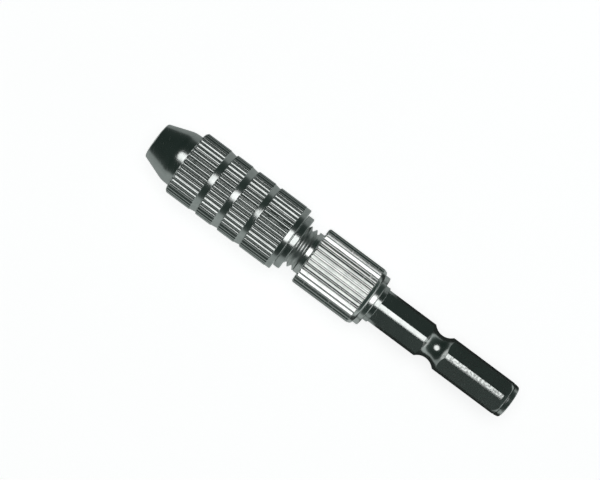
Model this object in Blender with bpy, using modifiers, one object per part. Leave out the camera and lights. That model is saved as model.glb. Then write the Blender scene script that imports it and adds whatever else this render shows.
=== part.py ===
"""Hand drill chuck: a three-jaw screw chuck on a 6.35 mm (1/4 in) hexagon shank.

The tool's axis is world X. The origin is the centre of the shank's rear end
face, +X runs towards the nose, and one corner of the hexagon points up (+Z).
Everything hangs on an empty whose own Z is the tool's axis, so each profile
below is a list of (radius, distance from the shank's end).

In the names, X0 and X1 are the rear and front ends of a feature, R is a radius
and BREAK is the size of a small edge chamfer. Offsets written inside a profile
are its small chamfers and steps.
"""
import math

import bmesh
import bpy
from mathutils import Matrix

MM = 0.001
CUTTER_OVERRUN = 1.0 * MM        # how far a cutter reaches past the metal

# ---- shank -----------------------------------------------------------------
SHANK_STEPS = 36
HEX_FLATS = 6.35 * MM            # across flats, 1/4 in
HEX_CORNER_R = 3.42 * MM         # the corners are turned down to this radius
MILL_DEPTH = 1.2 * MM            # radial size of the blocks that cut the flats
MILL_WIDTH = 3.2 * MM
SHANK_END_CHAMFER = 1.70 * MM    # where the turned end begins
SHANK_END_GROOVE = 0.92 * MM     # a fine groove in front of the tapered rim
SHANK_RIM_R = 3.16 * MM          # just inside the flats, so that it enters a holder
SHANK_END_R = 2.90 * MM
GROOVE_X = 15.5 * MM             # middle of the quick-change groove
GROOVE_MIN_R = 2.35 * MM
GROOVE_ARC_R = 2.55 * MM
GROOVE_SEGMENTS = 8
SHOULDER_X0 = 27.1 * MM          # the round shoulder in front of the hexagon
SHOULDER_X1 = 28.04 * MM
SHOULDER_R = 3.50 * MM
SHOULDER_BREAK = 0.08 * MM
STEM_R = 2.50 * MM               # stem pressed into the chuck body
STEM_X1 = 37.0 * MM

# ---- chuck body: knurled collar and threaded stud ---------------------------
BOSS_X0 = 28.08 * MM             # plain boss behind the collar
BOSS_R = 4.80 * MM
BOSS_BREAK = 0.08 * MM
COLLAR_X0 = 29.05 * MM
COLLAR_X1 = 41.20 * MM
COLLAR_R = 5.47 * MM
COLLAR_BREAK = 0.22 * MM
COLLAR_TEETH = 33
COLLAR_ROOT_R = 5.17 * MM
COLLAR_VALLEY_SIDE = 0.55 * MM   # side of the square bar that cuts a valley
COLLAR_KNURL_OVERRUN = 0.5 * MM
COLLAR_RIM = 0.80 * MM           # smooth tapered rim behind the knurl
RELIEF_X1 = 42.05 * MM           # plain neck between collar and thread
THREAD_CREST_R = 3.97 * MM       # M8 x 1
THREAD_ROOT_R = 3.36 * MM
THREAD_PITCH = 1.0 * MM
THREAD_HALF_ANGLE = math.radians(30)
THREAD_COLUMNS = 24
THREAD_X1 = 54.0 * MM
LAND_R = 3.28 * MM               # plain end of the stud in front of the thread
CORE_R = LAND_R - 0.1 * MM       # turned core inside the thread
STUD_X1 = 56.0 * MM
STUD_BREAK = 0.3 * MM
BORE_STEPS = 24
DRILL_BORE_R = 1.75 * MM
STEM_BORE_R = 2.53 * MM
STEM_BORE_X1 = 37.3 * MM
SLOT_WIDTH = 1.60 * MM           # radial slots that guide the jaws
SLOT_X0 = 54.3 * MM
SLOT_INNER_R = 1.0 * MM
SLOT_OUTER_R = 4.6 * MM

# ---- end ring ---------------------------------------------------------------
RING_X0 = 44.10 * MM
RING_X1 = 45.35 * MM
RING_R = 5.08 * MM
RING_BREAK = 0.05 * MM
RING_BORE_R = 4.06 * MM
RING_BORE_BREAK = 0.1 * MM
SPIGOT_R = 4.50 * MM
SPIGOT_X1 = 46.65 * MM
SPIGOT_BREAK = 0.12 * MM
BEAD_R = 4.68 * MM
BEAD_X = 46.15 * MM              # rear edge of the bead's crest

# ---- screw sleeve -----------------------------------------------------------
SLEEVE_X0 = 45.40 * MM
NOSE_X1 = 73.20 * MM
NOSE_TIP_R = 3.35 * MM
NOSE_TIP_BREAK = 0.12 * MM
# outline of the nose from its cone back to the knurl: (radius, x)
NOSE_OUTLINE = (
    (4.70 * MM, 69.3 * MM), (4.818 * MM, 68.9 * MM), (4.899 * MM, 68.5 * MM),
    (4.944 * MM, 68.1 * MM), (4.99 * MM, 67.1 * MM))
SLEEVE_R = 6.07 * MM
SLEEVE_TEETH = 40
SLEEVE_ROOT_R = 5.80 * MM
SLEEVE_VALLEY_SIDE = 0.60 * MM
SLEEVE_RIM_R = 5.98 * MM         # plain rim behind the last knurled band
SLEEVE_RIM_BREAK = 0.15 * MM
# knurled bands from rear to front: (x0, x1)
BANDS = ((46.45 * MM, 51.70 * MM), (52.85 * MM, 56.30 * MM),
         (57.60 * MM, 60.80 * MM), (62.05 * MM, 67.10 * MM))
MOUTH_R = 2.50 * MM              # bore at the nose's face
CONE_ANGLE = math.radians(15.0)  # half angle of the bore that closes the jaws
CHAMBER_R = 4.60 * MM
CHAMBER_X1 = NOSE_X1 - (CHAMBER_R - MOUTH_R) / math.tan(CONE_ANGLE)
NUT_X0 = 46.95 * MM              # internal thread
NUT_X1 = 52.40 * MM
NUT_MINOR_R = 3.47 * MM
NUT_CLEARANCE = 0.06 * MM
SEAT_CLEARANCE = 0.06 * MM       # between the sleeve and the end ring
SEAT_R = SPIGOT_R + SEAT_CLEARANCE
BEAD_SEAT_R = BEAD_R + SEAT_CLEARANCE

# ---- jaws -------------------------------------------------------------------
JAW_STEPS = 48
JAW_COUNT = 3
JAW_SPACING = 2 * math.pi / JAW_COUNT
JAW_HALF_ANGLE = math.pi / JAW_COUNT
FIRST_JAW_TURN = math.pi         # the first jaw is the upper one
JAW_X0 = 56.20 * MM
JAW_X1 = 72.00 * MM
JAW_CLOSING = 0.75 * MM          # how far a jaw moves in from here to shut
JAW_FIT = 0.08 * MM              # running gap between a jaw and the cone
JAW_MAX_R = 2.90 * MM            # outer radius with the jaws shut
JAW_REAR_BREAK = 0.2 * MM
JAW_TIP_BREAK = 0.15 * MM
# radius where the cone would meet the tip's face, and where the cone ends
JAW_TIP_R = MOUTH_R + (NOSE_X1 - JAW_X1) * math.tan(CONE_ANGLE) - JAW_CLOSING - JAW_FIT
JAW_CONE_X0 = JAW_X1 - (JAW_MAX_R - JAW_TIP_R) / math.tan(CONE_ANGLE)
JAW_SIDE_GAP = 0.03 * MM
SIDE_CUT_LENGTH = 12.0 * MM      # radial size of the block that cuts a side
SIDE_CUT_THICKNESS = 6.0 * MM
SIDE_CUT_EXTRA = 6.0 * MM        # added to the block's size along the axis
GRIP_STEPS = 12
GRIP_R = 0.15 * MM               # hollow left on the axis with the jaws shut
TONGUE_X0 = 54.45 * MM
TONGUE_OVERLAP = 0.4 * MM        # how far the tongue runs into the jaw
TONGUE_INNER_R = 0.50 * MM
TONGUE_OUTER_R = 1.75 * MM
TONGUE_WIDTH = 1.5 * MM
POCKET_SEGMENTS = 12
POCKET_R = 0.55 * MM
POCKET_DEPTH = 1.10 * MM
POCKET_X = 62.5 * MM
POCKET_RHO = 1.55 * MM           # distance from the axis with the jaws shut

# ---- springs ----------------------------------------------------------------
SPRING_COIL_R = 0.41 * MM
SPRING_WIRE_R = 0.08 * MM
SPRING_TURNS = 5
SPRING_POINTS_PER_TURN = 12
SPRING_END_GAP = 0.04 * MM
SPRING_BUNCHING = 0.5            # 0 spaces the coils evenly, 1 closes both ends

for old in list(bpy.data.objects):
    bpy.data.objects.remove(old, do_unlink=True)

parts = bpy.data.collections.new("hand_drill_chuck")
cutters = bpy.data.collections.new("cutters")
for collection in (parts, cutters):
    bpy.context.scene.collection.children.link(collection)

tool_axis = bpy.data.objects.new("tool_axis", None)
tool_axis.empty_display_size = 0.01
tool_axis.rotation_euler = (0.0, math.pi / 2, 0.0)
parts.objects.link(tool_axis)


# ---- helpers ----------------------------------------------------------------
def metal(name, colour, roughness):
    made = bpy.data.materials.new(name)
    made.use_nodes = True
    shader = made.node_tree.nodes["Principled BSDF"]
    shader.inputs["Base Color"].default_value = (*colour, 1.0)
    shader.inputs["Roughness"].default_value = roughness
    shader.inputs["Metallic"].default_value = 1.0
    made.diffuse_color = (*colour, 1.0)
    return made


def place(obj, z=0.0, turn=0.0, out=0.0):
    """Hang an object on the tool's axis, turned about it and moved outwards."""
    obj.parent = tool_axis
    obj.location = (out * math.cos(turn), out * math.sin(turn), z)
    obj.rotation_euler = (0.0, 0.0, turn)
    return obj


def as_cutter(obj):
    cutters.objects.link(obj)
    obj.hide_render = True
    obj.display_type = 'WIRE'
    return obj


def finish(obj, finish_material):
    parts.objects.link(obj)
    obj.data.materials.append(finish_material)


def boolean(obj, other, operation='DIFFERENCE'):
    modifier = obj.modifiers.new(other.name, 'BOOLEAN')
    modifier.operation = operation
    modifier.solver = 'EXACT'
    modifier.object = other


def lathe(name, profile, steps, z=0.0):
    """A turned piece. The profile runs down the outer side, front to rear, and
    is closed through the bore when its front end is off the axis."""
    mesh = bpy.data.meshes.new(name)
    points = [(r, 0.0, x - z) for r, x in profile]
    edges = [(i, i + 1) for i in range(len(points) - 1)]
    if profile[0][0] > 0.0:
        edges.append((len(points) - 1, 0))
    mesh.from_pydata(points, edges, [])
    obj = bpy.data.objects.new(name, mesh)
    screw = obj.modifiers.new("turned", 'SCREW')
    screw.axis = 'Z'
    screw.angle = 2 * math.pi
    screw.steps = screw.render_steps = steps
    screw.use_merge_vertices = True
    screw.merge_threshold = 0.00001
    screw.use_smooth_shade = True
    return place(obj, z)


def cutter_from(shape, name):
    """Turn a bmesh into a cutter on the tool's axis."""
    mesh = bpy.data.meshes.new(name)
    shape.to_mesh(mesh)
    shape.free()
    return place(as_cutter(bpy.data.objects.new(name, mesh)))


def blocks(name, count, spans, centre_r, depth, width, phase=0.0, spin=0.0):
    """Blocks evenly around the axis, one ring of them for each (x0, x1) span.
    `spin` turns each block about its own lengthwise axis."""
    shape = bmesh.new()
    for x0, x1 in spans:
        for i in range(count):
            turn = Matrix.Rotation(2 * math.pi * i / count + phase, 4, 'Z')
            move = Matrix.Translation((centre_r, 0.0, (x0 + x1) / 2))
            own_turn = Matrix.Rotation(spin, 4, 'Z')
            size = Matrix.Diagonal((depth, width, x1 - x0, 1.0))
            bmesh.ops.create_cube(shape, size=1.0, matrix=turn @ move @ own_turn @ size)
    return cutter_from(shape, name)


def boxes(name, count, x0, x1, inner_r, outer_r, width, phase=0.0):
    """Boxes around the axis, each reaching from inner_r to outer_r."""
    return blocks(name, count, [(x0, x1)], (inner_r + outer_r) / 2, outer_r - inner_r,
                  width, phase=phase)


def knurl_valleys(name, teeth, root_r, side, spans):
    """Square bars standing on edge, which cut the valleys between straight
    knurl teeth: each flank stands at 45 degrees."""
    return blocks(name, teeth, spans, root_r + side * math.sqrt(2) / 2, side, side,
                  spin=math.pi / 4)


def thread(name, z0, z1, crest_r, root_r, flank_clearance, limit_r):
    """A right-hand thread of 60 degrees as a solid between two flat ends. Each
    column is the thread's profile at one angle, clipped to the ends, and the
    last column joins the first one turn further on. `flank_clearance` widens
    the ridge on both flanks, and `limit_r(z)` is the largest radius at z."""
    crest = THREAD_PITCH / 8 + 2 * flank_clearance
    foot = crest + 2 * (crest_r - root_r) * math.tan(THREAD_HALF_ANGLE)
    stations = ((-foot / 2, root_r), (-crest / 2, crest_r),
                (crest / 2, crest_r), (foot / 2, root_r))

    def radius(z, turn):
        offset = abs(((z / THREAD_PITCH - turn + 0.5) % 1.0 - 0.5) * THREAD_PITCH)
        if offset <= crest / 2:
            return crest_r
        if offset >= foot / 2:
            return root_r
        return crest_r + (root_r - crest_r) * (offset - crest / 2) / (foot / 2 - crest / 2)

    # three ridges to spare at either end are flattened onto the end faces
    first = math.floor(z0 / THREAD_PITCH) - 3
    last = math.ceil(z1 / THREAD_PITCH) + 3
    rows = (last - first + 1) * len(stations)
    shape = bmesh.new()
    grid = []
    for c in range(THREAD_COLUMNS):
        turn = c / THREAD_COLUMNS
        angle = 2 * math.pi * turn
        column = []
        for ridge in range(first, last + 1):
            for offset, r in stations:
                z = (ridge + turn) * THREAD_PITCH + offset
                if z < z0 or z > z1:
                    z = min(max(z, z0), z1)
                    r = radius(z, turn)
                r = min(r, limit_r(z))
                column.append(shape.verts.new((r * math.cos(angle), r * math.sin(angle), z)))
        grid.append(column)
    for c in range(THREAD_COLUMNS):
        here = grid[c]
        there = grid[(c + 1) % THREAD_COLUMNS]
        shift = 0 if c + 1 < THREAD_COLUMNS else len(stations)
        for row in range(rows - 1 - shift):
            shape.faces.new((here[row], there[row + shift],
                             there[row + shift + 1], here[row + 1]))
    shape.faces.new([column[0] for column in reversed(grid)])
    shape.faces.new([column[-1] for column in grid])
    bmesh.ops.remove_doubles(shape, verts=shape.verts, dist=1e-8)
    bmesh.ops.recalc_face_normals(shape, faces=shape.faces)
    return cutter_from(shape, name)


# ---- pieces -----------------------------------------------------------------
def quick_change_groove():
    """Profile points of the groove's circular arc, front to rear."""
    arc_drop = GROOVE_ARC_R - (HEX_CORNER_R - GROOVE_MIN_R)
    half_length = math.sqrt(GROOVE_ARC_R ** 2 - arc_drop ** 2)
    points = []
    for i in range(GROOVE_SEGMENTS + 1):
        offset = (1.0 - 2.0 * i / GROOVE_SEGMENTS) * half_length
        r = GROOVE_MIN_R + GROOVE_ARC_R - math.sqrt(GROOVE_ARC_R ** 2 - offset ** 2)
        points.append((r, GROOVE_X + offset))
    return points


def build_shank():
    shank = lathe("hex_shank", [
        (0.0, STEM_X1), (STEM_R - 0.3 * MM, STEM_X1), (STEM_R, STEM_X1 - 0.5 * MM),
        (STEM_R, SHOULDER_X1),
        (SHOULDER_R - SHOULDER_BREAK, SHOULDER_X1), (SHOULDER_R, SHOULDER_X1 - SHOULDER_BREAK),
        (SHOULDER_R, SHOULDER_X0 + 0.07 * MM), (HEX_CORNER_R, SHOULDER_X0),
        *quick_change_groove(),
        (HEX_CORNER_R, SHANK_END_CHAMFER),
        (SHANK_RIM_R + 0.02 * MM, SHANK_END_GROOVE + 0.18 * MM),
        (SHANK_RIM_R - 0.10 * MM, SHANK_END_GROOVE),
        (SHANK_RIM_R - 0.01 * MM, SHANK_END_GROOVE - 0.12 * MM),
        (SHANK_RIM_R - 0.11 * MM, 0.20 * MM), (SHANK_RIM_R - 0.18 * MM, 0.05 * MM),
        (SHANK_END_R, 0.0), (0.0, 0.0)], SHANK_STEPS)
    boolean(shank, boxes("hexagon_mills", 6, -CUTTER_OVERRUN, SHOULDER_X0 - 0.02 * MM,
                         HEX_FLATS / 2, HEX_FLATS / 2 + MILL_DEPTH, MILL_WIDTH,
                         phase=math.pi / 6))
    return shank


def stud_lead_in(z):
    """A 45 degree cone that tapers the thread off at its front end."""
    return LAND_R + 0.06 * MM + max(0.0, THREAD_X1 - z)


def build_body():
    body = lathe("chuck_body", [
        (0.0, STUD_X1), (LAND_R - STUD_BREAK, STUD_X1), (LAND_R, STUD_X1 - STUD_BREAK),
        (LAND_R, THREAD_X1 - 0.3 * MM), (CORE_R, THREAD_X1 - 0.4 * MM),
        (CORE_R, RELIEF_X1 - 0.1 * MM), (THREAD_CREST_R, RELIEF_X1),
        (THREAD_CREST_R + 0.02 * MM, COLLAR_X1),
        (COLLAR_R - COLLAR_BREAK, COLLAR_X1), (COLLAR_R, COLLAR_X1 - COLLAR_BREAK),
        (COLLAR_R, COLLAR_X0 + COLLAR_RIM),
        (COLLAR_R - 0.20 * MM, COLLAR_X0 + 0.18 * MM),
        (COLLAR_R - 0.42 * MM, COLLAR_X0), (BOSS_R, COLLAR_X0),
        (BOSS_R, BOSS_X0 + BOSS_BREAK), (BOSS_R - BOSS_BREAK, BOSS_X0),
        (0.0, BOSS_X0)], COLLAR_TEETH)
    stud_thread = thread("stud_thread", RELIEF_X1 - 0.13 * MM, THREAD_X1,
                         THREAD_CREST_R - 0.01 * MM, THREAD_ROOT_R,
                         flank_clearance=0.0, limit_r=stud_lead_in)
    knurl = knurl_valleys("collar_valleys", COLLAR_TEETH, COLLAR_ROOT_R, COLLAR_VALLEY_SIDE,
                          [(COLLAR_X0 + COLLAR_RIM + 0.03 * MM,
                            COLLAR_X1 + COLLAR_KNURL_OVERRUN)])
    bore_x0 = BOSS_X0 - CUTTER_OVERRUN
    bore_x1 = STUD_X1 + CUTTER_OVERRUN
    bore = as_cutter(lathe("drill_bore", [
        (0.0, bore_x1), (DRILL_BORE_R, bore_x1),
        (DRILL_BORE_R, STEM_BORE_X1), (STEM_BORE_R, STEM_BORE_X1),
        (STEM_BORE_R, bore_x0), (0.0, bore_x0)], BORE_STEPS))
    slots = boxes("jaw_slots", JAW_COUNT, SLOT_X0, STUD_X1 + CUTTER_OVERRUN,
                  SLOT_INNER_R, SLOT_OUTER_R, SLOT_WIDTH, phase=FIRST_JAW_TURN)
    boolean(body, stud_thread, 'UNION')
    for cutter in (knurl, bore, slots):
        boolean(body, cutter)
    return body


def sleeve_outside():
    """The sleeve's outer profile, from the nose back to its rear face."""
    points = [(NOSE_TIP_R - NOSE_TIP_BREAK, NOSE_X1), (NOSE_TIP_R, NOSE_X1 - NOSE_TIP_BREAK),
              *NOSE_OUTLINE]
    front_band = len(BANDS) - 1
    for band in range(front_band, -1, -1):
        x0, x1 = BANDS[band]
        if band == front_band:
            points += [(SLEEVE_R - 0.30 * MM, x1 - 0.02 * MM), (SLEEVE_R, x1 - 0.32 * MM)]
        else:
            points += [(SLEEVE_R, x1 - 0.12 * MM)]
        if band > 0:
            # a shallow groove whose floor falls towards the band behind
            behind_x1 = BANDS[band - 1][1]
            points += [(SLEEVE_R, x0 + 0.06 * MM), (SLEEVE_R - 0.12 * MM, x0 - 0.04 * MM),
                       (SLEEVE_R - 0.29 * MM, behind_x1 + 0.10 * MM)]
        else:
            points += [(SLEEVE_R, x0), (SLEEVE_RIM_R, x0 - 0.05 * MM),
                       (SLEEVE_RIM_R, SLEEVE_X0 + SLEEVE_RIM_BREAK),
                       (SLEEVE_RIM_R - SLEEVE_RIM_BREAK, SLEEVE_X0)]
    return points


def build_sleeve():
    # rear to front: seat of the end ring, internal thread, chamber, cone
    inside = [
        (SEAT_R, SLEEVE_X0), (SEAT_R, BEAD_X - 0.24 * MM),
        (BEAD_SEAT_R, BEAD_X - 0.10 * MM), (BEAD_SEAT_R, BEAD_X + 0.22 * MM),
        (SEAT_R, BEAD_X + 0.36 * MM), (SEAT_R, NUT_X0 - 0.2 * MM),
        (THREAD_CREST_R + 0.12 * MM, NUT_X0 - 0.1 * MM), (NUT_MINOR_R, NUT_X0 + 0.5 * MM),
        (NUT_MINOR_R, NUT_X1 - 0.3 * MM), (CHAMBER_R - 0.3 * MM, NUT_X1 + 0.2 * MM),
        (CHAMBER_R, NUT_X1 + 0.5 * MM), (CHAMBER_R, CHAMBER_X1), (MOUTH_R, NOSE_X1)]
    sleeve = lathe("chuck_sleeve", sleeve_outside() + inside, SLEEVE_TEETH, z=NUT_X0)
    boolean(sleeve, knurl_valleys(
        "sleeve_valleys", SLEEVE_TEETH, SLEEVE_ROOT_R, SLEEVE_VALLEY_SIDE,
        [(x0 + 0.03 * MM, x1 - 0.05 * MM) for x0, x1 in BANDS]))
    boolean(sleeve, thread(
        "nut_thread", NUT_X0 - 0.15 * MM, NUT_X1 + 0.45 * MM,
        THREAD_CREST_R + NUT_CLEARANCE, THREAD_ROOT_R + NUT_CLEARANCE,
        flank_clearance=NUT_CLEARANCE / math.cos(THREAD_HALF_ANGLE),
        limit_r=lambda z: math.inf))
    return sleeve


def build_ring():
    return lathe("end_ring", [
        (SPIGOT_R - SPIGOT_BREAK, SPIGOT_X1), (SPIGOT_R, SPIGOT_X1 - SPIGOT_BREAK),
        (SPIGOT_R, BEAD_X + 0.26 * MM), (BEAD_R, BEAD_X + 0.12 * MM), (BEAD_R, BEAD_X),
        (SPIGOT_R, BEAD_X - 0.14 * MM), (SPIGOT_R, RING_X1),
        (RING_R - RING_BREAK, RING_X1), (RING_R, RING_X1 - RING_BREAK),
        (RING_R, RING_X0 + 0.18 * MM), (RING_R - 0.06 * MM, RING_X0 + 0.06 * MM),
        (RING_R - 0.20 * MM, RING_X0),
        (RING_BORE_R + RING_BORE_BREAK, RING_X0), (RING_BORE_R, RING_X0 + RING_BORE_BREAK),
        (RING_BORE_R, SPIGOT_X1 - RING_BORE_BREAK),
        (RING_BORE_R + RING_BORE_BREAK, SPIGOT_X1)], SLEEVE_TEETH, z=RING_X0)


def jaw_side_cutter(side):
    """A block whose inner face cuts one side of a jaw (side is 1 or -1)."""
    shape = bmesh.new()
    face = Matrix.Rotation(side * JAW_HALF_ANGLE, 4, 'Z')
    move = Matrix.Translation((0.0, side * (SIDE_CUT_THICKNESS / 2 - JAW_SIDE_GAP),
                               (JAW_X0 + JAW_X1) / 2))
    size = Matrix.Diagonal((SIDE_CUT_LENGTH, SIDE_CUT_THICKNESS,
                            JAW_X1 - TONGUE_X0 + SIDE_CUT_EXTRA, 1.0))
    bmesh.ops.create_cube(shape, size=1.0, matrix=face @ move @ size)
    return cutter_from(shape, "jaw_side")


def pocket_cutter():
    """Cylinders centred on a jaw's two side faces, half of each in the jaw."""
    shape = bmesh.new()
    for side in (1, -1):
        face = Matrix.Rotation(side * JAW_HALF_ANGLE, 4, 'Z')
        move = Matrix.Translation((POCKET_RHO, -side * JAW_SIDE_GAP, POCKET_X))
        across = Matrix.Rotation(math.pi / 2, 4, 'X')
        bmesh.ops.create_cone(shape, cap_ends=True, segments=POCKET_SEGMENTS,
                              radius1=POCKET_R, radius2=POCKET_R, depth=2 * POCKET_DEPTH,
                              matrix=face @ move @ across)
    return cutter_from(shape, "spring_pockets")


def build_jaw_mesh(jaw_material):
    """One jaw, modelled shut, with its middle on the axis frame's own X."""
    blank = as_cutter(lathe("jaw_blank", [
        (0.0, JAW_X1), (JAW_TIP_R - JAW_TIP_BREAK, JAW_X1),
        (JAW_TIP_R + 0.04 * MM, JAW_X1 - JAW_TIP_BREAK),
        (JAW_MAX_R, JAW_CONE_X0), (JAW_MAX_R, JAW_X0 + JAW_REAR_BREAK),
        (JAW_MAX_R - JAW_REAR_BREAK, JAW_X0), (0.0, JAW_X0)], JAW_STEPS))
    tongue = boxes("jaw_tongue", 1, TONGUE_X0, JAW_X0 + TONGUE_OVERLAP,
                   TONGUE_INNER_R, TONGUE_OUTER_R, TONGUE_WIDTH)
    grip_x0 = JAW_X0 - CUTTER_OVERRUN
    grip_x1 = JAW_X1 + CUTTER_OVERRUN
    grip = as_cutter(lathe("grip_hollow", [
        (0.0, grip_x1), (GRIP_R, grip_x1), (GRIP_R, grip_x0), (0.0, grip_x0)], GRIP_STEPS))
    boolean(blank, tongue, 'UNION')
    for cutter in (jaw_side_cutter(1), jaw_side_cutter(-1), pocket_cutter(), grip):
        boolean(blank, cutter)

    bpy.context.view_layer.update()
    depsgraph = bpy.context.evaluated_depsgraph_get()
    mesh = bpy.data.meshes.new_from_object(blank.evaluated_get(depsgraph))
    mesh.name = "jaw"
    mesh.materials.clear()
    mesh.materials.append(jaw_material)
    # smooth faces, with edges sharper than 30 degrees kept crisp
    mesh.shade_smooth()
    mesh.set_sharp_from_angle(angle=math.radians(30))
    return mesh


def build_jaws(jaw_material):
    """Three jaws that share a mesh, each moved out from the shut position."""
    mesh = build_jaw_mesh(jaw_material)
    for number in range(JAW_COUNT):
        jaw = bpy.data.objects.new(f"jaw_{number + 1}", mesh)
        parts.objects.link(jaw)
        place(jaw, turn=FIRST_JAW_TURN + number * JAW_SPACING, out=JAW_CLOSING)


def build_spring(name, length):
    """A coil spring along its own Y, centred on its origin."""
    curve = bpy.data.curves.new(name, 'CURVE')
    curve.dimensions = '3D'
    curve.bevel_depth = SPRING_WIRE_R
    curve.bevel_resolution = 1
    curve.use_fill_caps = True
    segments = SPRING_TURNS * SPRING_POINTS_PER_TURN
    spline = curve.splines.new('POLY')
    spline.points.add(segments)
    for i in range(segments + 1):
        wound = i / segments
        # the coils lie closer together at both ends
        advance = wound - SPRING_BUNCHING * math.sin(2 * math.pi * wound) / (2 * math.pi)
        angle = 2 * math.pi * SPRING_TURNS * wound
        y = (advance - 0.5) * (length - 2 * SPRING_WIRE_R)
        spline.points[i].co = (SPRING_COIL_R * math.cos(angle), y,
                               SPRING_COIL_R * math.sin(angle), 1.0)
    return bpy.data.objects.new(name, curve)


def build_springs(spring_material):
    """Each spring stands across the gap between two jaws, in a pocket of each."""
    half_gap = JAW_CLOSING * math.sin(JAW_HALF_ANGLE) + JAW_SIDE_GAP
    length = 2 * (half_gap + POCKET_DEPTH - SPRING_END_GAP)
    out = POCKET_RHO + JAW_CLOSING * math.cos(JAW_HALF_ANGLE)
    for number in range(JAW_COUNT):
        spring = build_spring(f"jaw_spring_{number + 1}", length)
        finish(spring, spring_material)
        turn = FIRST_JAW_TURN + JAW_HALF_ANGLE + number * JAW_SPACING
        place(spring, POCKET_X, turn, out)


plated = metal("chrome_plate", colour=(0.72, 0.73, 0.72), roughness=0.12)
shank_steel = metal("shank_chrome", colour=(0.66, 0.67, 0.66), roughness=0.16)
jaw_steel = metal("jaw_steel", colour=(0.42, 0.42, 0.44), roughness=0.35)
spring_steel = metal("spring_steel", colour=(0.55, 0.54, 0.52), roughness=0.3)

finish(build_shank(), shank_steel)
finish(build_body(), plated)
finish(build_sleeve(), plated)
finish(build_ring(), plated)
build_jaws(jaw_steel)
build_springs(spring_steel)
bpy.context.view_layer.update()
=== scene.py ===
"""A small drill chuck on a hexagonal shank, lying on a pale table.

The tool's axis is X: the shank ends at x = 0 and the nose points to +X.
Angles around the axis run from +Z towards +Y. Sizes and stations in the
sections on pieces are in mm, except where a comment says metres.
"""
import math
import random
from functools import cache

import bpy
import bmesh
from mathutils import Matrix, Vector


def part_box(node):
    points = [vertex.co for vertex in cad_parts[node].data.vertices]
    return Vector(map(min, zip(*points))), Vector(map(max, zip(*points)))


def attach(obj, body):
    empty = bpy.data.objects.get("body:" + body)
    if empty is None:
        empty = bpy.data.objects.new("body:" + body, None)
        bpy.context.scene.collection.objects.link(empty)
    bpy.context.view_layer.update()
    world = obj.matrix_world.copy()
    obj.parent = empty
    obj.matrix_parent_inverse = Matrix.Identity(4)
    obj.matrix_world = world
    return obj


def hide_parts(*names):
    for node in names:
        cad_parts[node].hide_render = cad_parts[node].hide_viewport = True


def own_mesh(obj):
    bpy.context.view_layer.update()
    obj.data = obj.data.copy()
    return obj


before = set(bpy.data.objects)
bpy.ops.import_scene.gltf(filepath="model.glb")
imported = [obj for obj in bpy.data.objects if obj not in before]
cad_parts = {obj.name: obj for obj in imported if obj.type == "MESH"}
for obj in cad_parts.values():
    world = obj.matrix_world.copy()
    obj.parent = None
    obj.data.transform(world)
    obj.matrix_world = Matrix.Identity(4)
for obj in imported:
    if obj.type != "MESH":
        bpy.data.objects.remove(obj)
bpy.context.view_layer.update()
MM = 0.001
TAU = 2 * math.pi


def stations(piece):
    """Where a CAD piece begins and ends along the axis, in mm."""
    low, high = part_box(piece)
    return low.x / MM, high.x / MM


SHANK_FRONT = stations("hex_shank")[1]
BODY_BACK = stations("chuck_body")[0]
RING_BACK, RING_FRONT = stations("end_ring")
SLEEVE_BACK, SLEEVE_FRONT = stations("chuck_sleeve")
UNDERSIDE_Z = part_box("chuck_sleeve")[0].z   # metres


# ---------------------------------------------------------------- mesh tools
def profile(points, steps=5):
    """Turns rows of (radius, x, fillet) in mm into (radius, x) in metres, corners rounded."""
    points = [(r * MM, x * MM, fillet * MM) for r, x, fillet in points]
    out = []
    last = len(points) - 1
    for i, (r, x, fillet) in enumerate(points):
        if fillet <= 0 or i in (0, last):
            out.append((r, x))
            continue
        corner = Vector((r, x))
        back = Vector(points[i - 1][:2]) - corner
        ahead = Vector(points[i + 1][:2]) - corner
        reach = min(fillet, back.length * 0.45, ahead.length * 0.45)
        start = corner + back.normalized() * reach
        end = corner + ahead.normalized() * reach
        for s in range(steps + 1):
            t = s / steps
            point = start * (1 - t) ** 2 + corner * 2 * t * (1 - t) + end * t * t
            out.append((point.x, point.y))
    return out


def split_long(points, most):
    """Adds stations where two neighbours lie further apart than `most` mm."""
    out = [points[0]]
    for a, b in zip(points, points[1:]):
        n = max(1, math.ceil(math.hypot(b[0] - a[0], b[1] - a[1]) / (most * MM)))
        for s in range(1, n + 1):
            out.append((a[0] + (b[0] - a[0]) * s / n, a[1] + (b[1] - a[1]) * s / n))
    return out


def even_angles(columns):
    return [TAU * c / columns for c in range(columns)]


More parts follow.
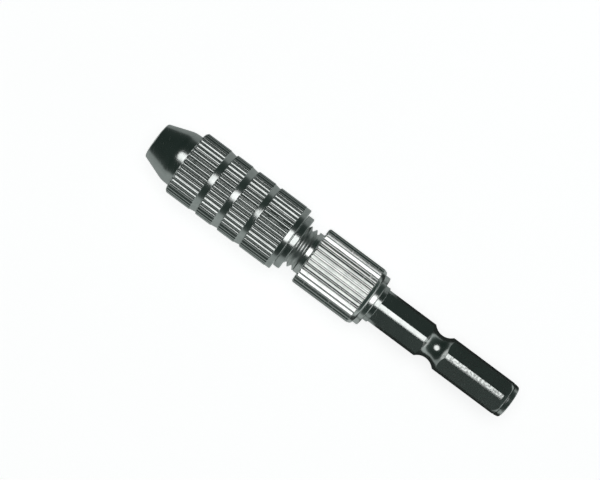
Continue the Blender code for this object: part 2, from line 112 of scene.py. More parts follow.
class Turned:
    """A closed turned body made of sheets around the X axis, in metres. Each
    sheet is a grid of columns by rows; neighbouring sheets share end rows."""

    WELD = 1e-7

    def __init__(self, angles):
        self.angles = angles
        self.columns = len(angles)
        self.points = []
        self.valleys = []
        self.knurls = []
        self.faces = []

    def sheet(self, rows_at, shift=0, marks_at=None):
        """rows_at(c) gives column c's list of (radius, x), from front to rear
        along the outer side and rear to front along the inner one.
        shift is the row of the first column that meets row 0 of the last.
        marks_at(c, x) says how deep in a knurl valley that point lies, and
        how far the surface is knurled there."""
        base = len(self.points)
        count = None
        for c in range(self.columns):
            rows = rows_at(c)
            count = len(rows)
            cosine, sine = math.cos(self.angles[c]), math.sin(self.angles[c])
            for r, x in rows:
                self.points.append((x, r * sine, r * cosine))
                valley, knurl = marks_at(c, x) if marks_at else (0.0, 0.0)
                self.valleys.append(valley)
                self.knurls.append(knurl)
        for c in range(self.columns):
            following = (c + 1) % self.columns
            step = shift if following == 0 else 0
            for row in range(max(0, -step), min(count - 1, count - 1 - step)):
                a = base + c * count + row
                b = base + following * count + row + step
                self.faces.append((a, b, b + 1, a + 1))

    def cap(self, radius, x, forward):
        """A flat disc that closes an end on the axis, as a ring of faces
        round a centre; radius and x are in mm."""
        base = len(self.points)
        radius, x = radius * MM, x * MM
        self.points.append((x, 0.0, 0.0))
        for angle in self.angles:
            self.points.append((x, radius * math.sin(angle), radius * math.cos(angle)))
        self.valleys += [0.0] * (self.columns + 1)
        self.knurls += [0.0] * (self.columns + 1)
        for c in range(self.columns):
            a, b = base + 1 + c, base + 1 + (c + 1) % self.columns
            self.faces.append((base, b, a) if forward else (base, a, b))

    def build(self, name):
        mesh = bpy.data.meshes.new(name)
        mesh.from_pydata(self.points, [], self.faces)
        for key, values in (("valley", self.valleys), ("knurl", self.knurls)):
            mesh.attributes.new(key, 'FLOAT', 'POINT').data.foreach_set("value", values)
        bm = bmesh.new()
        bm.from_mesh(mesh)
        bmesh.ops.remove_doubles(bm, verts=bm.verts, dist=self.WELD)
        bmesh.ops.dissolve_degenerate(bm, edges=bm.edges, dist=self.WELD)
        bmesh.ops.recalc_face_normals(bm, faces=bm.faces)
        write(bm, mesh)
        return new_object(name, mesh)


def write(bm, mesh):
    bm.to_mesh(mesh)
    bm.free()


def new_object(name, data):
    obj = bpy.data.objects.new(name, data)
    bpy.context.scene.collection.objects.link(obj)
    return obj


def smooth(obj, degrees):
    """Smooth shading, with edges steeper than `degrees` kept sharp."""
    obj.data.shade_smooth()
    obj.data.set_sharp_from_angle(angle=math.radians(degrees))
    return obj


def cut(obj, cutter):
    """Subtracts the cutter from the object and removes it."""
    modifier = obj.modifiers.new("cut", 'BOOLEAN')
    modifier.operation = 'DIFFERENCE'
    modifier.solver = 'EXACT'
    modifier.object = cutter
    bpy.context.view_layer.update()
    evaluated = obj.evaluated_get(bpy.context.evaluated_depsgraph_get())
    mesh = bpy.data.meshes.new_from_object(evaluated)
    obj.modifiers.clear()
    obj.data = mesh
    bpy.data.objects.remove(cutter, do_unlink=True)


def boxes(count, back, front, inner_r, outer_r, width, phase):
    """Boxes around the X axis, each from inner_r to outer_r; phase is measured from +Z."""
    size = Matrix.Diagonal(((front - back) * MM, width * MM, (outer_r - inner_r) * MM, 1.0))
    centre = ((back + front) / 2 * MM, 0.0, (inner_r + outer_r) / 2 * MM)
    bm = bmesh.new()
    for i in range(count):
        made = bmesh.ops.create_cube(bm, size=1.0)
        turn = Matrix.Rotation(-(TAU * i / count + phase), 4, 'X')
        matrix = turn @ Matrix.Translation(centre) @ size
        bmesh.ops.transform(bm, matrix=matrix, verts=made["verts"])
    mesh = bpy.data.meshes.new("cutter")
    write(bm, mesh)
    return new_object("cutter", mesh)


# -------------------------------------------------------------------- thread
PITCH = 1.0 * MM


def thread_columns(angles, back, front, crest_r, root_r, crest_w, root_w, chamfer_r=None):
    """Column profiles, in metres, of a right-hand thread clipped between back
    and front, with rounded crests and roots. crest_w and root_w are the flat
    widths; chamfer_r is the radius at which a 45 degree chamfer meets the
    front. Returns the columns and the number of rows in one turn."""
    back, front, crest_r, root_r, crest_w, root_w = (
        value * MM for value in (back, front, crest_r, root_r, crest_w, root_w))
    flank = (PITCH - crest_w - root_w) / 2
    ease = 0.16 * flank
    drop = (crest_r - root_r) * ease / flank
    half = crest_w / 2
    # one ridge: (place along the axis from the crest's middle, radius)
    ridge = [
        (-half - flank - 0.6 * ease, root_r), (-half - flank + ease, root_r + drop),
        (-half - ease, crest_r - drop), (-half + 0.25 * ease, crest_r - 0.12 * drop),
        (0.0, crest_r),
        (half - 0.25 * ease, crest_r - 0.12 * drop), (half + ease, crest_r - drop),
        (half + flank - ease, root_r + drop), (half + flank + 0.6 * ease, root_r)]
    first, last = math.floor(back / PITCH) - 3, math.ceil(front / PITCH) + 3

    def radius(x, turn):
        place = ((x / PITCH - turn) + 0.5) % 1.0 - 0.5
        place *= PITCH
        if place <= ridge[0][0] or place >= ridge[-1][0]:
            return root_r
        for (a, radius_a), (b, radius_b) in zip(ridge, ridge[1:]):
            if a <= place <= b:
                return radius_a + (radius_b - radius_a) * (place - a) / (b - a)
        return root_r

    def column(angle):
        # angles run the left-hand way round X, so the ridge moves back as they grow
        turn = 0.5 - angle / TAU
        rows = []
        for k in range(first, last + 1):
            for offset, r in ridge:
                x = (k + turn) * PITCH + offset
                if x < back or x > front:
                    x = min(max(x, back), front)
                    r = radius(x, turn)
                if chamfer_r:
                    r = min(r, chamfer_r * MM + (front - x))
                rows.append((r, x))
        return rows

    return [column(angle) for angle in angles], len(ridge)


# --------------------------------------------------------------------- knurl
UNEVEN_DEPTH = 0.10       # share by which valley depths differ
CREST_WEAR = 0.012 * MM   # most that a tooth's crest is lowered


@cache
def hashed(tooth, draw):
    """A repeatable number from 0 to 1."""
    return random.Random(tooth * 7919 + draw * 104729 + 17).random()


# A tooth runs from valley to valley: share of the pitch, share of the depth.
def mirrored(half):
    return tuple(half) + tuple((1 - t, depth) for t, depth in reversed(half[1:-1]))


def rolled_tooth(places, valley=0.20):
    """A hollow arc in the valley, a crowned arc on the crest."""
    crest = 0.5 - valley
    return mirrored([
        (t, 1 - 2 * t * t / valley if t <= valley else 2 * (0.5 - t) ** 2 / crest)
        for t in places])


def cut_tooth(flank):
    """A V-shaped valley with straight flanks and a narrow land between valleys."""
    places = (0.0, 0.022, 0.055, flank - 0.06, flank - 0.02)
    half = [(t, min(0.985, 1 - t / flank)) for t in places]
    return mirrored(half + [(flank + 0.03, 0.0), (0.5, 0.0)])


def band_share(x, back, front, run_in, run_out):
    """1 from back to front, falling to 0 over run_in behind and run_out
    ahead; x is in metres, the rest in mm."""
    back, front, run_in, run_out = (value * MM for value in (back, front, run_in, run_out))
    if back <= x <= front:
        return 1.0
    if back - run_in < x < back:
        return (x - back + run_in) / run_in
    if front < x < front + run_out:
        return (front + run_out - x) / run_out
    return 0.0


class Knurl:
    """Teeth around a turned surface, one column of points per place on a tooth."""

    def __init__(self, teeth, tooth, crest_r, depth, wave):
        """wave: how the valleys waver along the axis, as (height in mm,
        radians per mm, spread of the phase, draw of the phase)."""
        self.crest_r, self.depth, self.wave = crest_r * MM, depth * MM, wave
        self.angles = [TAU * (i + t) / teeth for i in range(teeth) for t, _ in tooth]
        self.drops = [drop for _, drop in tooth] * teeth
        self.numbers = [i for i in range(teeth) for _ in tooth]

    def top(self, column, x, share, depth_draw, wear_draw):
        """The greatest radius at a point, in metres."""
        drop, tooth = self.drops[column], self.numbers[column]
        height, rate, spread, phase_draw = self.wave
        uneven = 1 + UNEVEN_DEPTH * (hashed(tooth, depth_draw) - 0.5)
        wave = height * MM * math.sin(x / MM * rate + spread * hashed(tooth, phase_draw)) * drop
        wear = CREST_WEAR * hashed(tooth, wear_draw) * share
        return self.crest_r - drop * self.depth * uneven * share - wear + wave


# -------------------------------------------------------------- the sleeve
SLEEVE_CREST_R = 6.07
# knurled bands from the rear to the front: (back, front)
BANDS = ((46.45, 51.70), (52.85, 56.30), (57.60, 60.80), (62.05, 67.10))
NOSE_TIP = (3.35, 73.08)       # radius, x where the cone starts
NOSE_BASE = (4.70, 69.30)      # radius, x of a second point that sets its slope
FLARE_FRONT = 69.50            # where the cone's slope starts to run out
FLARE_LENGTH = 1.55
FLARE_END_SLOPE = 0.045
FLARE_STEPS = 24
MOUTH_R, CHAMBER_R, MOUTH_ANGLE = 2.50, 4.60, math.radians(15)
SLEEVE_THREAD_BACK, SLEEVE_THREAD_FRONT = 46.80, 52.85
RECESS_R = 4.56                # bore behind the thread


def sleeve_outer():
    """The outer outline, front to rear: (radius, x, fillet)."""
    tip_r, tip_x = NOSE_TIP
    points = [(2.62, 73.20, 0), (3.18, 73.20, 0.06), (tip_r, tip_x, 0.10)]
    # the cone's slope runs out over a short curve into a nearly plain base
    cone = (NOSE_BASE[0] - tip_r) / (tip_x - NOSE_BASE[1])
    knurl_front = BANDS[-1][1]
    x = FLARE_FRONT
    r = tip_r + cone * (tip_x - x)
    points.append((r, x, 0))
    step = (x - knurl_front) / FLARE_STEPS
    for _ in range(FLARE_STEPS):
        t = min(1.0, (FLARE_FRONT - x + step / 2) / FLARE_LENGTH)
        slope = cone + (FLARE_END_SLOPE - cone) * (t * t * (3 - 2 * t)) ** 0.85
        r, x = r + slope * step, x - step
        points.append((r, x, 0))
    points += [(5.72, knurl_front, 0.05), (SLEEVE_CREST_R, 66.76, 0.10)]
    # a groove between each band and the next one to the rear
    for (start, _), (_, end) in zip(BANDS[::-1], BANDS[-2::-1]):
        points += [
            (SLEEVE_CREST_R, start + 0.05, 0.05), (5.955, start - 0.05, 0.05),
            (5.80, end + 0.16, 0.06), (5.80, end + 0.09, 0.03),
            (SLEEVE_CREST_R, end - 0.08, 0.06)]
    return points + [
        (SLEEVE_CREST_R, 46.47, 0.03), (5.98, 46.40, 0.05), (5.98, 45.50, 0.06),
        (5.88, 45.40, 0.04), (5.62, 45.40, 0)]


def make_sleeve():
    tooth = rolled_tooth((0.0, 0.08, 0.16, 0.22, 0.29, 0.39, 0.5))
    knurl = Knurl(40, tooth, SLEEVE_CREST_R, depth=0.250, wave=(0.006, 2.3, 5, 9))
    turned = Turned(knurl.angles)
    outer = split_long(profile(sleeve_outer()), 0.55)

    def share(x):
        return max(band_share(x, back, front, 0.06, 0.05) for back, front in BANDS)

    def outer_rows(c):
        rows = []
        for r, x in outer:
            band = sum(x > back * MM for back, _ in BANDS)
            rows.append((min(r, knurl.top(c, x, share(x), band, band + 20)), x))
        return rows

    turned.sheet(outer_rows, marks_at=lambda c, x: (knurl.drops[c] * share(x), share(x)))
    # rear face and the recess with its round groove, up to the thread
    rear = profile([
        (5.62, SLEEVE_BACK, 0), (4.64, SLEEVE_BACK, 0.05), (RECESS_R, SLEEVE_BACK + 0.08, 0.02),
        (RECESS_R, 45.93, 0), (4.74, 46.05, 0.03), (4.74, 46.37, 0.03),
        (RECESS_R, 46.51, 0), (RECESS_R, SLEEVE_THREAD_BACK, 0)])
    turned.sheet(lambda c: rear)
    thread, per_turn = thread_columns(
        knurl.angles, SLEEVE_THREAD_BACK, SLEEVE_THREAD_FRONT,
        crest_r=4.04, root_r=3.47, crest_w=0.16, root_w=0.16)
    turned.sheet(lambda c: thread[c], shift=-per_turn)
    # faces that join the thread's uneven ends to the round bores
    turned.sheet(lambda c: [rear[-1], thread[c][0]])
    cone_back = SLEEVE_FRONT - (CHAMBER_R - MOUTH_R) / math.tan(MOUTH_ANGLE)
    front = split_long(profile([
        (CHAMBER_R, SLEEVE_THREAD_FRONT, 0), (CHAMBER_R, cone_back, 0.3),
        (2.52, SLEEVE_FRONT - 0.10, 0.04), (2.62, SLEEVE_FRONT, 0)]), 1.2)
    turned.sheet(lambda c: [thread[c][-1], front[0]])
    turned.sheet(lambda c: front)
    return smooth(turned.build("sleeve_knurled"), 40)


# ---------------------------------------------------------- the chuck body
COLLAR_CREST_R = 5.47
COLLAR_BACK, COLLAR_FRONT = 29.85, 41.20
BODY_THREAD_BACK, BODY_THREAD_FRONT = 42.05, 54.0
BODY_THREAD_R = 3.96
BODY_END_R = 3.28         # radius in front of the thread
SOCKET_R, BORE_R = 2.53, 1.75


def make_body():
    knurl = Knurl(33, cut_tooth(0.385), COLLAR_CREST_R, depth=0.385, wave=(0.005, 1.7, 6, 42))
    turned = Turned(knurl.angles)
    thread, per_turn = thread_columns(
        knurl.angles, BODY_THREAD_BACK, BODY_THREAD_FRONT,
        crest_r=BODY_THREAD_R, root_r=3.36, crest_w=0.15, root_w=0.16, chamfer_r=3.34)
    collar = split_long(profile([
        (BODY_THREAD_R, BODY_THREAD_BACK, 0), (BODY_THREAD_R, COLLAR_FRONT + 0.1, 0.10),
        (4.06, COLLAR_FRONT, 0.05), (5.22, COLLAR_FRONT, 0.06),
        (COLLAR_CREST_R, COLLAR_FRONT - 0.26, 0.08), (COLLAR_CREST_R, COLLAR_BACK, 0.10),
        (5.27, 29.23, 0.12), (5.05, 29.05, 0.08), (4.83, 29.05, 0.04), (4.79, 29.01, 0.04),
        (4.78, BODY_BACK + 0.09, 0.04), (4.70, BODY_BACK, 0.03),
        (2.75, BODY_BACK, 0.05), (SOCKET_R, BODY_BACK + 0.2, 0)]), 0.6)

    def share(x):
        return band_share(x, COLLAR_BACK, COLLAR_FRONT + 0.01, 0.10, 0)

    def collar_rows(c):
        rows = []
        for r, x in collar:
            if x < (COLLAR_FRONT + 0.005) * MM:
                r = min(r, knurl.top(c, x, share(x), 40, 41))
            rows.append((r, x))
        return rows

    def collar_marks(c, x):
        if x <= COLLAR_FRONT * MM:
            return knurl.drops[c] * share(x), share(x)
        return 0.0, 0.0

    turned.sheet(lambda c: thread[c][::-1], shift=per_turn)
    turned.sheet(lambda c: [thread[c][0], collar[0]])
    turned.sheet(collar_rows, marks_at=collar_marks)
    bore = profile([
        (SOCKET_R, BODY_BACK + 0.2, 0), (SOCKET_R, 37.3, 0.1), (BORE_R, 37.9, 0.1),
        (BORE_R, 55.8, 0.05), (1.9, 56.0, 0.05), (3.0, 56.0, 0.06),
        (BODY_END_R, 55.7, 0.06), (BODY_END_R, BODY_THREAD_FRONT, 0)])
    turned.sheet(lambda c: bore)
    turned.sheet(lambda c: [bore[-1], thread[c][-1]])
    obj = turned.build("body_knurled")
    # three slots across the front end
    cut(obj, boxes(3, back=54.3, front=57.0, inner_r=1.0, outer_r=4.6, width=1.60, phase=0.0))
    return smooth(obj, 40)


# ------------------------------------------------------------ the end ring
def make_ring():
    neck_r, bead_r, rim_r, bore_r = 4.50, 4.68, 5.08, 4.06
    rim_front = 45.35
    loop = profile([
        (4.38, RING_FRONT, 0), (neck_r, RING_FRONT - 0.12, 0.03), (neck_r, 46.41, 0.02),
        (bead_r, 46.27, 0.05), (bead_r, 46.15, 0.05), (neck_r, 46.01, 0.02),
        (neck_r, rim_front, 0), (4.99, rim_front, 0.05), (rim_r, rim_front - 0.09, 0.06),
        (rim_r, RING_BACK + 0.16, 0.09), (4.93, RING_BACK, 0.07),
        (4.22, RING_BACK, 0.05), (bore_r, RING_BACK + 0.14, 0.05),
        (bore_r, RING_FRONT - 0.1, 0.03), (4.16, RING_FRONT, 0), (4.38, RING_FRONT, 0)])
    turned = Turned(even_angles(144))
    turned.sheet(lambda c: loop)
    return smooth(turned.build("ring_smooth"), 40)


# ----------------------------------------------------------- the hex shank
CORNER_R = 3.42
HALF_FLATS = 3.175
GROOVE_X, GROOVE_LOW_R, GROOVE_ARC_R = 15.5, 2.35, 2.55
GROOVE_STEPS = 28
SHOULDER_BACK, SHOULDER_FRONT = 27.1, 28.04
SHOULDER_R = 3.45
FRONT_END_R, BACK_END_R = 2.2, 2.90


def shank_outline():
    """The outline from front to rear: (radius, x, fillet)."""
    reach = math.sqrt(GROOVE_ARC_R ** 2 - (GROOVE_ARC_R - (CORNER_R - GROOVE_LOW_R)) ** 2)
    front, back = GROOVE_X + reach, GROOVE_X - reach
    points = [
        (FRONT_END_R, SHANK_FRONT, 0), (2.5, SHANK_FRONT - 0.5, 0.1), (2.5, SHOULDER_FRONT, 0),
        (3.38, SHOULDER_FRONT, 0.03), (SHOULDER_R, SHOULDER_FRONT - 0.08, 0.03),
        (SHOULDER_R, SHOULDER_BACK + 0.02, 0), (CORNER_R, SHOULDER_BACK - 0.02, 0),
        (CORNER_R, front + 0.09, 0), (CORNER_R - 0.02, front + 0.03, 0)]
    for i in range(1, GROOVE_STEPS):
        along = (1 - 2 * i / GROOVE_STEPS) * reach
        rise = GROOVE_ARC_R - math.sqrt(GROOVE_ARC_R ** 2 - along ** 2)
        points.append((GROOVE_LOW_R + rise, GROOVE_X + along, 0))
    points += [(CORNER_R - 0.02, back - 0.03, 0), (CORNER_R, back - 0.09, 0)]
    # turned end: a short cone, a fine groove and a tapered rim
    return points + [
        (CORNER_R, 1.70, 0.12), (3.18, 1.10, 0.05), (3.06, 0.93, 0.03), (3.15, 0.80, 0.04),
        (3.05, 0.20, 0.10), (2.98, 0.05, 0.05), (BACK_END_R, 0.0, 0)]


def make_shank():
    loop = profile(shank_outline(), steps=8)
    turned = Turned(even_angles(192))
    turned.sheet(lambda c: loop)
    turned.cap(FRONT_END_R, SHANK_FRONT, forward=True)
    turned.cap(BACK_END_R, 0.0, forward=False)
    obj = turned.build("shank_hexagonal")
    # the six flats
    cut(obj, boxes(6, back=-1.0, front=SHOULDER_BACK - 0.02, inner_r=HALF_FLATS,
                   outer_r=HALF_FLATS + 1.2, width=3.2, phase=math.pi / 6))
    return smooth(obj, 12)


# ------------------------------------------------------------- the springs
SPRING_LENGTH = 3.32 * MM
SPRING_OUT, SPRING_X = 1.925 * MM, 62.5 * MM   # distance from the axis, station along it
COIL_R, WIRE_R = 0.40 * MM, 0.08 * MM
COIL_TURNS, COIL_STEPS, WIRE_SIDES = 5, 28, 10


def make_spring(number):
    """A small coil between two jaws; its axis lies across the gap between
    them. Returns the coil, the direction of its axis and one end of it."""
    lo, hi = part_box(f"jaw_spring_{number}")
    centre = (lo + hi) / 2
    angle = math.atan2(centre.y, centre.z)
    out = Vector((0, math.sin(angle), math.cos(angle)))
    across = Vector((0, math.cos(angle), -math.sin(angle)))
    along = Vector((1, 0, 0))
    middle = out * SPRING_OUT + along * SPRING_X
    count = COIL_TURNS * COIL_STEPS
    path = []
    for i in range(count + 1):
        share = i / count
        # the turns lie closer together at both ends
        eased = share - 0.5 * math.sin(TAU * share) / TAU
        a = TAU * COIL_TURNS * share
        path.append(middle + out * COIL_R * math.cos(a) + along * COIL_R * math.sin(a)
                    + across * (eased - 0.5) * (SPRING_LENGTH - 2 * WIRE_R))
    points, faces = [], []
    for i, point in enumerate(path):
        heading = (path[min(i + 1, count)] - path[max(i - 1, 0)]).normalized()
        side = heading.cross(across).normalized()
        up = side.cross(heading).normalized()
        for k in range(WIRE_SIDES):
            b = TAU * k / WIRE_SIDES
            points.append(point + side * WIRE_R * math.cos(b) + up * WIRE_R * math.sin(b))
    for i in range(count):
        for k in range(WIRE_SIDES):
            a, b = i * WIRE_SIDES + k, i * WIRE_SIDES + (k + 1) % WIRE_SIDES
            faces.append((a, b, b + WIRE_SIDES, a + WIRE_SIDES))
    faces.append(tuple(range(WIRE_SIDES))[::-1])
    faces.append(tuple(count * WIRE_SIDES + k for k in range(WIRE_SIDES)))
    name = f"spring_coil_{number}"
    mesh = bpy.data.meshes.new(name)
    mesh.from_pydata([tuple(p) for p in points], [], faces)
    bm = bmesh.new()
    bm.from_mesh(mesh)
    bmesh.ops.recalc_face_normals(bm, faces=bm.faces)
    write(bm, mesh)
    coil = smooth(new_object(name, mesh), 60)
    return coil, across, middle + across * (SPRING_LENGTH / 2)


# --------------------------------------------------------------- node tools
class Nodes:
    """Builds the node tree of a material or a world."""

    def __init__(self, owner):
        owner.use_nodes = True
        self.tree = owner.node_tree

    def feed(self, node, feeds):
        """Sets a node's inputs: sockets are linked, colours and numbers are set."""
        for key, value in feeds.items():
            if isinstance(value, bpy.types.NodeSocket):
                self.tree.links.new(value, node.inputs[key])
            elif isinstance(value, tuple):
                node.inputs[key].default_value = (*value, 1.0)
            elif value is not None:
                node.inputs[key].default_value = value

    def node(self, kind, feeds=None, **settings):
        made = self.tree.nodes.new("ShaderNode" + kind)
        for key, value in settings.items():
            setattr(made, key, value)
        self.feed(made, feeds or {})
        return made

    def math(self, operation, a, b=None, clamp=False):
        made = self.node("Math", {0: a, 1: b}, operation=operation, use_clamp=clamp)
        return made.outputs[0]

    def plus(self, total, part, weight):
        """total + part * weight"""
        return self.math('ADD', total, self.math('MULTIPLY', part, weight))

    def absolute(self, value):
        return self.math('ABSOLUTE', value, 0.0)

    def scale(self, vector, factor):
        made = self.node("VectorMath", {0: vector, "Scale": factor}, operation='SCALE')
        return made.outputs[0]

    def span(self, value, low, high, to_low=0.0, to_high=1.0):
        """Smooth change from to_low to to_high as the value goes from low to high."""
        feeds = {"Value": value, "From Min": low, "From Max": high,
                 "To Min": to_low, "To Max": to_high}
        return self.node("MapRange", feeds, interpolation_type='SMOOTHSTEP').outputs["Result"]

    def blend(self, factor, a, b):
        feeds = {"Factor": factor, 6: a, 7: b}   # 6 and 7 are the colour inputs
        return self.node("Mix", feeds, data_type='RGBA').outputs[2]

    def noise(self, vector, scale, detail=3.0, roughness=0.55, w=None):
        """Noise in space, or along the single value w."""
        feeds = {"Vector": vector, "W": w, "Scale": scale, "Detail": detail,
                 "Roughness": roughness}
        dimensions = '3D' if w is None else '1D'
        return self.node("TexNoise", feeds, noise_dimensions=dimensions).outputs["Fac"]

    def separate(self, coordinates):
        vector = self.node("TexCoord").outputs[coordinates]
        return vector, self.node("SeparateXYZ")

    def attribute(self, name):
        return self.node("Attribute", attribute_name=name).outputs["Fac"]

    def camera_ray(self):
        return self.node("LightPath").outputs["Is Camera Ray"]


class Surface(Nodes):
    """A material around its Principled shader."""

    def __init__(self, name):
        self.material = bpy.data.materials.new(name)
        super().__init__(self.material)

    def shade(self, feeds):
        self.feed(self.tree.nodes["Principled BSDF"], feeds)
        return self.material


# ---------------------------------------------------------------- metals
def machining_marks(n, marks, mm, x, y, z):
    """Noise in 'turned' rings round X, or in 'drawn' streaks along X."""
    if marks == 'turned':
        squares = n.math('ADD', n.math('MULTIPLY', y, y), n.math('MULTIPLY', z, z))
        place = n.plus(x, n.math('SQRT', squares), 0.7)
        return n.noise(None, scale=9.0, detail=6.0, roughness=0.75, w=place)
    stretch = n.node("CombineXYZ", {
        axis: n.math('MULTIPLY', part, squeeze)
        for axis, (part, squeeze) in enumerate(((x, 0.05), (y, 4.0), (z, 4.0)))})
    return n.noise(stretch.outputs[0], scale=2.2, detail=6.0, roughness=0.7)


def hairlines(n, x, around):
    """Scratches at a slant, kept to a few thin lines."""
    across = n.math('MULTIPLY', n.plus(x, around, 2.1), 3.5)
    lean = n.math('SUBTRACT', n.math('MULTIPLY', around, 5.0), n.math('MULTIPLY', x, 0.6))
    slant = n.node("CombineXYZ", {0: across, 1: n.math('MULTIPLY', lean, 0.22)})
    lines = n.noise(slant.outputs[0], scale=1.6, detail=3.0, roughness=0.5)
    return n.span(lines, low=0.64, high=0.70)


def plated(name, colour, dark, rough, marks, mark_height, valley_shade=0.0, from_depth=0.55,
           satin=0.0, matt_from=None, rubbed=None):
    """Bright metal, tinted from colour to dark in blotches.
    marks: 'turned' or 'drawn'; mark_height: their height in metres.
    valley_shade: how much painted shade darkens the knurl's valleys below from_depth,
    a share of their depth. satin: how much rougher the knurled surface is.
    matt_from: x in mm from where on the surface is duller.
    rubbed: (x in mm where it ends, width in mm) of a rear end that is dull in spots."""
    n = Surface(name)
    mm = n.scale(n.node("TexCoord").outputs["Object"], 1 / MM)
    x, y, z = n.node("SeparateXYZ", {0: mm}).outputs
    around = n.math('ARCTAN2', y, z)
    blotch = n.noise(mm, scale=0.55, detail=4.0, roughness=0.6)
    patch = n.noise(mm, scale=2.2, detail=5.0, roughness=0.65)
    fine = n.noise(mm, scale=14.0, detail=3.0, roughness=0.6)
    rings = machining_marks(n, marks, mm, x, y, z)
    scratch = hairlines(n, x, around)
    tint = n.blend(n.span(blotch, low=0.35, high=0.68), colour, dark)
    wear = n.span(patch, low=0.45, high=0.75)
    roughness = rough
    # what roughens the plate, and by how much
    for part, weight in ((n.span(blotch, low=0.3, high=0.75), 0.025), (wear, 0.03),
                         (rings, 0.03), (scratch, 0.16)):
        roughness = n.plus(roughness, part, weight)
    # painted shade: the knurl's valleys below from_depth are darkened towards near black, in
    # patches, and made rougher
    if valley_shade:
        deep = n.span(n.attribute("valley"), from_depth, 1.0, to_high=valley_shade)
        patchy = n.span(patch, low=0.25, high=0.6, to_low=0.78, to_high=1.0)
        painted_valley_shade = n.math('MULTIPLY', deep, patchy, clamp=True)
        tint = n.blend(painted_valley_shade, tint, (0.10, 0.105, 0.095))
        roughness = n.plus(roughness, painted_valley_shade, 0.28)
        roughness = n.plus(roughness, n.attribute("knurl"), satin)
    if matt_from:
        matt = n.span(x, matt_from - 0.1, matt_from + 0.1, to_high=0.12)
        roughness = n.math('ADD', roughness, matt)
    if rubbed:
        end, width = rubbed
        spots = n.span(n.noise(mm, scale=2.6, detail=4.0, roughness=0.6), low=0.44, high=0.60)
        near_end = n.span(x, end - width, end, to_low=1.0, to_high=0.0)
        spots = n.math('MULTIPLY', spots, near_end)
        tint = n.blend(n.math('MULTIPLY', spots, 0.62), tint, (0.24, 0.25, 0.24))
        roughness = n.plus(roughness, spots, 0.12)
    highest_roughness = n.math('MINIMUM', roughness, 0.85)
    # relief: rings, fine grain and patches stand up, scratches are sunk
    height = n.plus(n.math('MULTIPLY', rings, 1.0), fine, 0.45)
    height = n.plus(height, patch, 0.35)
    height = n.math('SUBTRACT', height, n.math('MULTIPLY', scratch, 0.5))
    bump = n.node("Bump", {"Strength": 1.0, "Distance": mark_height, "Height": height})
    return n.shade({"Base Color": tint, "Roughness": highest_roughness, "Metallic": 1.0,
                    "Normal": bump.outputs["Normal"]})


# the sleeve's and the body's knurl valleys get painted shade; the sleeve's is the darker
SLEEVE_PLATE = plated(
    "sleeve_plate", colour=(0.665, 0.69, 0.675), dark=(0.58, 0.61, 0.595), rough=0.16,
    marks='turned', mark_height=0.0000012, valley_shade=0.50, satin=0.06)
BODY_PLATE = plated(
    "body_plate", colour=(0.82, 0.835, 0.82), dark=(0.74, 0.76, 0.745), rough=0.165,
    marks='turned', mark_height=0.0000012, valley_shade=0.15, from_depth=0.90, matt_from=42.0)
RING_PLATE = plated(
    "ring_plate", colour=(0.665, 0.69, 0.675), dark=(0.56, 0.59, 0.575), rough=0.16,
    marks='turned', mark_height=0.0000014)
SHANK_PLATE = plated(
    "shank_plate", colour=(0.64, 0.665, 0.65), dark=(0.55, 0.58, 0.565), rough=0.16,
    marks='drawn', mark_height=0.0000010, rubbed=(13.9, 2.0))
JAW_STEEL = plated(
    "jaw_steel", colour=(0.42, 0.42, 0.43), dark=(0.26, 0.26, 0.27), rough=0.24,
    marks='drawn', mark_height=0.0000045)
SPRING_STEEL = plated(
    "spring_wire", colour=(0.55, 0.54, 0.50), dark=(0.36, 0.34, 0.31), rough=0.22,
    marks='drawn', mark_height=0.0000020)


# ------------------------------------------------------------ the assembly
def dress(obj, material):
    obj.data.materials.clear()
    obj.data.materials.append(material)


# maker, material, part it rides on, CAD piece it replaces, slot
for make, material, rides_on, piece, slot in (
        (make_sleeve, SLEEVE_PLATE, "sleeve", "chuck_sleeve", "plated_steel"),
        (make_body, BODY_PLATE, "root", "chuck_body", "plated_steel"),
        (make_ring, RING_PLATE, "feed_ring", "end_ring", "plated_steel"),
        (make_shank, SHANK_PLATE, "root", "hex_shank", "shank_steel")):
    made = make()
    dress(made, material)
    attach(made, rides_on)
    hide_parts(piece)

for number, rides_on in enumerate(("jaw_a", "jaw_b", "jaw_c"), start=1):
    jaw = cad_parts[f"jaw_{number}"]
    dress(jaw, JAW_STEEL)
    coil, across, foot = make_spring(number)
    dress(coil, SPRING_STEEL)
    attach(coil, rides_on)
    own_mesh(coil)
    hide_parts(f"jaw_spring_{number}")


# ------------------------------------------------------- the stage (metres)
MATT = {"Roughness": 0.9, "Specular IOR Level": 0.1}


def flat_sheet(name, segments, half_size, location):
    mesh = bpy.data.meshes.new(name)
    bm = bmesh.new()
    bmesh.ops.create_grid(bm, x_segments=segments[0], y_segments=segments[1], size=1.0)
    bmesh.ops.scale(bm, vec=(*half_size, 1.0), verts=bm.verts)
    write(bm, mesh)
    sheet = new_object(name, mesh)
    sheet.location = location
    return sheet


def make_floor():
    """A pale table that glows a little, for the camera only."""
    floor = flat_sheet("floor", (4, 4), (1.5, 1.5), (0.037, 0.0, UNDERSIDE_Z - 0.00005))
    floor.visible_glossy = False     # bright metal mirrors the studio below instead
    n = Surface("pale_floor")
    seen = n.camera_ray()
    lit = n.blend(n.noise(None, scale=60.0), (0.80, 0.80, 0.81), (0.84, 0.84, 0.85))
    dress(floor, n.shade({
        **MATT, "Base Color": n.blend(seen, (0.30, 0.31, 0.305), lit),
        "Emission Color": (1.0, 1.0, 1.0), "Emission Strength": n.math('MULTIPLY', seen, 0.80)}))


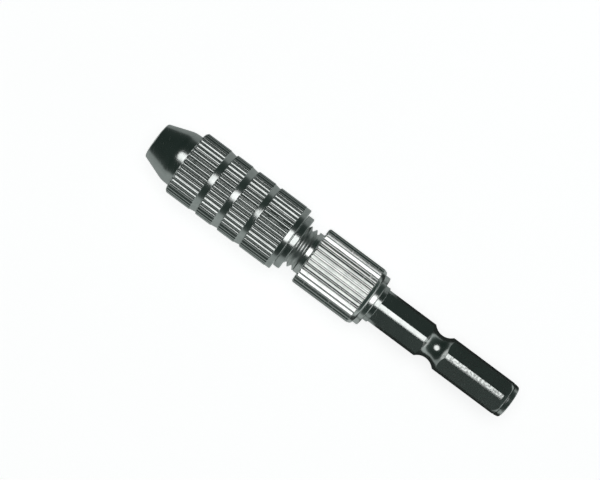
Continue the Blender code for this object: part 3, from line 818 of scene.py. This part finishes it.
def make_card():
    """A dark card on the table under the shank, out of the camera's sight,
    which keeps the hexagon's lower corners dark."""
    card = flat_sheet("dark_card", (6, 10), (0.0160, 0.080), (0.0090, 0.0, UNDERSIDE_Z + 0.0004))
    card.visible_camera = False
    card.visible_diffuse = False
    card.visible_shadow = False
    n = Surface("dark_card")
    colour = n.blend(n.noise(None, scale=40.0), (0.085, 0.100, 0.092), (0.110, 0.125, 0.116))
    dress(card, n.shade({**MATT, "Base Color": colour}))


# the room from below to overhead: (place on the ramp, colour)
ROOM_STOPS = (
    (0.0, (0.275, 0.300, 0.292, 1)), (0.225, (0.245, 0.270, 0.262, 1)),
    (0.320, (0.055, 0.067, 0.063, 1)), (0.50, (0.028, 0.039, 0.035, 1)),
    (0.85, (0.018, 0.029, 0.025, 1)))


def make_studio():
    """What the metal mirrors apart from the softbox: a dark room above, a grey
    paper below and at the horizon, where the dark reaches further down in
    front of the nose."""
    world = bpy.data.worlds.new("studio")
    bpy.context.scene.world = world
    n = Nodes(world)
    n.tree.nodes.clear()
    direction = n.node("TexCoord").outputs["Generated"]
    x, y, z = n.node("SeparateXYZ", {0: direction}).outputs
    # the dark reaches furthest down half way between overhead and straight ahead
    ahead = n.math('SUBTRACT', 0.5, n.absolute(n.math('SUBTRACT', x, 0.5)))
    ahead = n.math('MAXIMUM', ahead, 0.0)
    behind = n.math('MAXIMUM', n.math('MULTIPLY', x, -1.0), 0.0)
    # both its reach and its height change a little from side to side
    reach = n.math('ADD', n.math('MULTIPLY', y, -0.30), 0.87)
    height = n.math('ADD', n.math('MULTIPLY', reach, ahead), z)
    height = n.plus(height, y, -0.1275)
    # the ramp covers heights from -0.2 to 1.2
    place = n.math('DIVIDE', n.math('ADD', height, 0.2), 1.4)
    ramp = n.node("ValToRGB", {0: place})
    stops = ramp.color_ramp.elements
    for i, (position, colour) in enumerate(ROOM_STOPS):
        stop = stops[i] if i < 2 else stops.new(position)
        stop.position = position
        stop.color = colour
    # the low part is brighter towards +Y, and everything is brighter behind
    low = n.math('SUBTRACT', 1.0, n.math('MULTIPLY', n.math('SUBTRACT', place, 0.22), 7.0))
    low = n.math('MAXIMUM', n.math('MINIMUM', low, 1.0), 0.0)
    side = n.math('MULTIPLY', n.math('MULTIPLY', y, low), 0.16)
    side = n.plus(n.math('ADD', side, 1.0), behind, 0.8)
    room = n.scale(ramp.outputs[0], side)
    # pale paper stands at both ends of the table, past the nose and the shank
    ends = n.span(n.absolute(x), low=0.90, high=0.985)
    mirrored_room = n.blend(ends, room, (0.80, 0.82, 0.81))
    colour = n.blend(n.camera_ray(), mirrored_room, (0.93, 0.93, 0.94))
    back = n.node("Background", {"Color": colour})
    n.node("OutputWorld", {"Surface": back.outputs[0]})


def make_camera():
    """Looks straight down, its picture turned so that the nose points to the upper left."""
    eye = Vector((0.0441, -0.0009, 0.259))
    roll = math.radians(36.72)
    right = Vector((-math.cos(roll), -math.sin(roll), 0))
    up = Vector((math.sin(roll), -math.cos(roll), 0))
    data = bpy.data.cameras.new("camera")
    data.lens = 93.0
    data.sensor_width = 36.0
    data.clip_start = 0.01
    camera = new_object("camera", data)
    camera.matrix_world = Matrix((
        (right.x, up.x, 0, eye.x), (right.y, up.y, 0, eye.y), (0, 0, 1, eye.z), (0, 0, 0, 1)))
    bpy.context.scene.camera = camera


def make_softbox():
    """A round light that hangs a little to one side of the camera and faces down."""
    data = bpy.data.lights.new("softbox", 'AREA')
    data.shape = 'DISK'
    data.size = 0.40
    data.energy = 0.63
    softbox = new_object("softbox", data)
    softbox.location = (0.055, -0.070, 0.55)
    softbox.rotation_mode = 'QUATERNION'
    softbox.rotation_quaternion = Vector((0, 0, -1)).to_track_quat('-Z', 'Y')


make_floor()
make_card()
make_studio()
make_camera()
make_softbox()
view = bpy.context.scene.view_settings
view.view_transform = 'Standard'
view.look = 'None'
